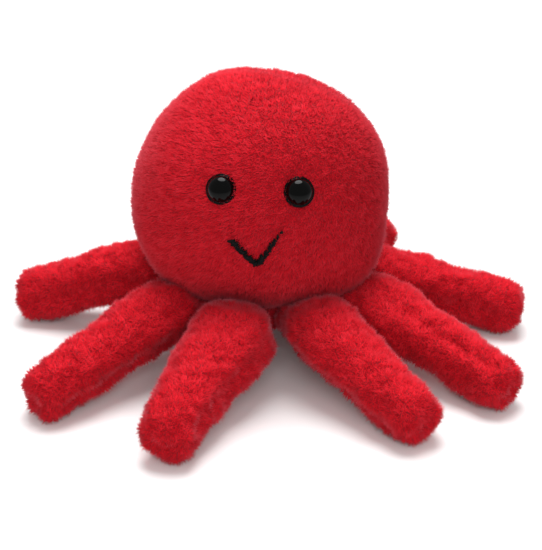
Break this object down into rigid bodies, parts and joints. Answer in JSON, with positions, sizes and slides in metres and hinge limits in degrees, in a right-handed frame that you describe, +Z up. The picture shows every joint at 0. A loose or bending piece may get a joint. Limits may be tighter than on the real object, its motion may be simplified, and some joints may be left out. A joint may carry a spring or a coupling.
{
  "type": "plush octopus toy",
  "caption": "Small red plush octopus: a round stuffed head with black safety eyes and a stitched mouth, on soft stuffed arms that swing and lift.",
  "frame": {"origin": "on the surface the toy stands on, under the middle of the footprint of its arms", "axes": "+Z up, -Y the way the face looks, +X to the right as seen by someone facing the toy"},
  "size_m": [0.1386, 0.135, 0.0715],
  "materials": {
    "plush_fleece": "short dense polyester pile, matte",
    "stuffing": "loose polyester fibre",
    "eye_plastic": "polished black",
    "washer_plastic": "moulded, matte",
    "mouth_thread": "black embroidery floss, slight sheen",
    "sewing_thread": "red polyester thread"
  },
  "bodies": {
    "head": {"face_panel": "plush_fleece", "back_left_panel": "plush_fleece", "back_right_panel": "plush_fleece", "base_panel": "plush_fleece", "head_stuffing": "stuffing", "left_eye": "eye_plastic", "right_eye": "eye_plastic", "left_eye_washer": "washer_plastic", "right_eye_washer": "washer_plastic", "mouth_embroidery": "mouth_thread", "back_closing_stitches": "sewing_thread", "base_seam_stitches": "sewing_thread"},
    "front_left_arm_root": {"front_left_arm_root_cover": "plush_fleece", "front_left_arm_root_stuffing": "stuffing"},
    "front_left_arm": {"front_left_arm_upper_panel": "plush_fleece", "front_left_arm_under_panel": "plush_fleece", "front_left_arm_stuffing": "stuffing"},
    "left_front_arm_root": {"left_front_arm_root_cover": "plush_fleece", "left_front_arm_root_stuffing": "stuffing"},
    "left_front_arm": {"left_front_arm_upper_panel": "plush_fleece", "left_front_arm_under_panel": "plush_fleece", "left_front_arm_stuffing": "stuffing"},
    "left_rear_arm_root": {"left_rear_arm_root_cover": "plush_fleece", "left_rear_arm_root_stuffing": "stuffing"},
    "left_rear_arm": {"left_rear_arm_upper_panel": "plush_fleece", "left_rear_arm_under_panel": "plush_fleece", "left_rear_arm_stuffing": "stuffing"},
    "rear_left_arm_root": {"rear_left_arm_root_cover": "plush_fleece", "rear_left_arm_root_stuffing": "stuffing"},
    "rear_left_arm": {"rear_left_arm_upper_panel": "plush_fleece", "rear_left_arm_under_panel": "plush_fleece", "rear_left_arm_stuffing": "stuffing"},
    "rear_right_arm_root": {"rear_right_arm_root_cover": "plush_fleece", "rear_right_arm_root_stuffing": "stuffing"},
    "rear_right_arm": {"rear_right_arm_upper_panel": "plush_fleece", "rear_right_arm_under_panel": "plush_fleece", "rear_right_arm_stuffing": "stuffing"},
    "right_rear_arm_root": {"right_rear_arm_root_cover": "plush_fleece", "right_rear_arm_root_stuffing": "stuffing"},
    "right_rear_arm": {"right_rear_arm_upper_panel": "plush_fleece", "right_rear_arm_under_panel": "plush_fleece", "right_rear_arm_stuffing": "stuffing"},
    "right_front_arm_root": {"right_front_arm_root_cover": "plush_fleece", "right_front_arm_root_stuffing": "stuffing"},
    "right_front_arm": {"right_front_arm_upper_panel": "plush_fleece", "right_front_arm_under_panel": "plush_fleece", "right_front_arm_stuffing": "stuffing"},
    "front_right_arm_root": {"front_right_arm_root_cover": "plush_fleece", "front_right_arm_root_stuffing": "stuffing"},
    "front_right_arm": {"front_right_arm_upper_panel": "plush_fleece", "front_right_arm_under_panel": "plush_fleece", "front_right_arm_stuffing": "stuffing"}
  },
  "joints": [
    {"name": "front_left_arm_swing", "type": "hinge", "parent": "head", "child": "front_left_arm_root", "pos_m": [-0.00677, -0.01605, 0.01225], "axis": [0, 0, 1], "range_deg": [-17, 20], "stiffness_Nm_per_rad": 0.03},
    {"name": "front_left_arm_lift", "type": "hinge", "parent": "front_left_arm_root", "child": "front_left_arm", "pos_m": [-0.01017, -0.02651, 0.01455], "axis": [-0.9511, 0.309, 0], "range_deg": [-15, 55], "stiffness_Nm_per_rad": 0.03},
    {"name": "left_front_arm_swing", "type": "hinge", "parent": "head", "child": "left_front_arm_root", "pos_m": [-0.01861, -0.00696, 0.01225], "axis": [0, 0, 1], "range_deg": [-20, 16], "stiffness_Nm_per_rad": 0.03},
    {"name": "left_front_arm_lift", "type": "hinge", "parent": "left_front_arm_root", "child": "left_front_arm", "pos_m": [-0.02653, -0.0146, 0.01455], "axis": [-0.6947, 0.7193, 0], "range_deg": [-15, 55], "stiffness_Nm_per_rad": 0.03},
    {"name": "left_rear_arm_swing", "type": "hinge", "parent": "head", "child": "left_rear_arm_root", "pos_m": [-0.02056, 0.00783, 0.01225], "axis": [0, 0, 1], "range_deg": [-20, 20], "stiffness_Nm_per_rad": 0.03},
    {"name": "left_rear_arm_lift", "type": "hinge", "parent": "left_rear_arm_root", "child": "left_rear_arm", "pos_m": [-0.0315, 0.00898, 0.01455], "axis": [0.1045, 0.9945, 0], "range_deg": [-15, 55], "stiffness_Nm_per_rad": 0.03},
    {"name": "rear_left_arm_swing", "type": "hinge", "parent": "head", "child": "rear_left_arm_root", "pos_m": [-0.01148, 0.01968, 0.01225], "axis": [0, 0, 1], "range_deg": [-20, 20], "stiffness_Nm_per_rad": 0.03},
    {"name": "rear_left_arm_lift", "type": "hinge", "parent": "rear_left_arm_root", "child": "rear_left_arm", "pos_m": [-0.0156, 0.02987, 0.01455], "axis": [0.9272, 0.3746, 0], "range_deg": [-15, 55], "stiffness_Nm_per_rad": 0.03},
    {"name": "rear_right_arm_swing", "type": "hinge", "parent": "head", "child": "rear_right_arm_root", "pos_m": [0.00332, 0.02162, 0.01225], "axis": [0, 0, 1], "range_deg": [-20, 20], "stiffness_Nm_per_rad": 0.03},
    {"name": "rear_right_arm_lift", "type": "hinge", "parent": "rear_right_arm_root", "child": "rear_right_arm", "pos_m": [0.01082, 0.02967, 0.01455], "axis": [0.7314, -0.682, 0], "range_deg": [-15, 55], "stiffness_Nm_per_rad": 0.03},
    {"name": "right_rear_arm_swing", "type": "hinge", "parent": "head", "child": "right_rear_arm_root", "pos_m": [0.01516, 0.01254, 0.01225], "axis": [0, 0, 1], "range_deg": [-15, 20], "stiffness_Nm_per_rad": 0.03},
    {"name": "right_rear_arm_lift", "type": "hinge", "parent": "right_rear_arm_root", "child": "right_rear_arm", "pos_m": [0.02599, 0.01063, 0.01455], "axis": [-0.1736, -0.9848, 0], "range_deg": [-15, 55], "stiffness_Nm_per_rad": 0.03},
    {"name": "right_front_arm_swing", "type": "hinge", "parent": "head", "child": "right_front_arm_root", "pos_m": [0.01711, -0.00226, 0.01225], "axis": [0, 0, 1], "range_deg": [-7, 20], "stiffness_Nm_per_rad": 0.03},
    {"name": "right_front_arm_lift", "type": "hinge", "parent": "right_front_arm_root", "child": "right_front_arm", "pos_m": [0.02515, -0.00976, 0.01455], "axis": [-0.682, -0.7314, 0], "range_deg": [-15, 55], "stiffness_Nm_per_rad": 0.03},
    {"name": "front_right_arm_swing", "type": "hinge", "parent": "head", "child": "front_right_arm_root", "pos_m": [0.00802, -0.0141, 0.01225], "axis": [0, 0, 1], "range_deg": [-20, 9], "stiffness_Nm_per_rad": 0.03},
    {"name": "front_right_arm_lift", "type": "hinge", "parent": "front_right_arm_root", "child": "front_right_arm", "pos_m": [0.01409, -0.02327, 0.01455], "axis": [-0.8339, -0.5519, 0], "range_deg": [-15, 55], "stiffness_Nm_per_rad": 0.03}
  ]
}
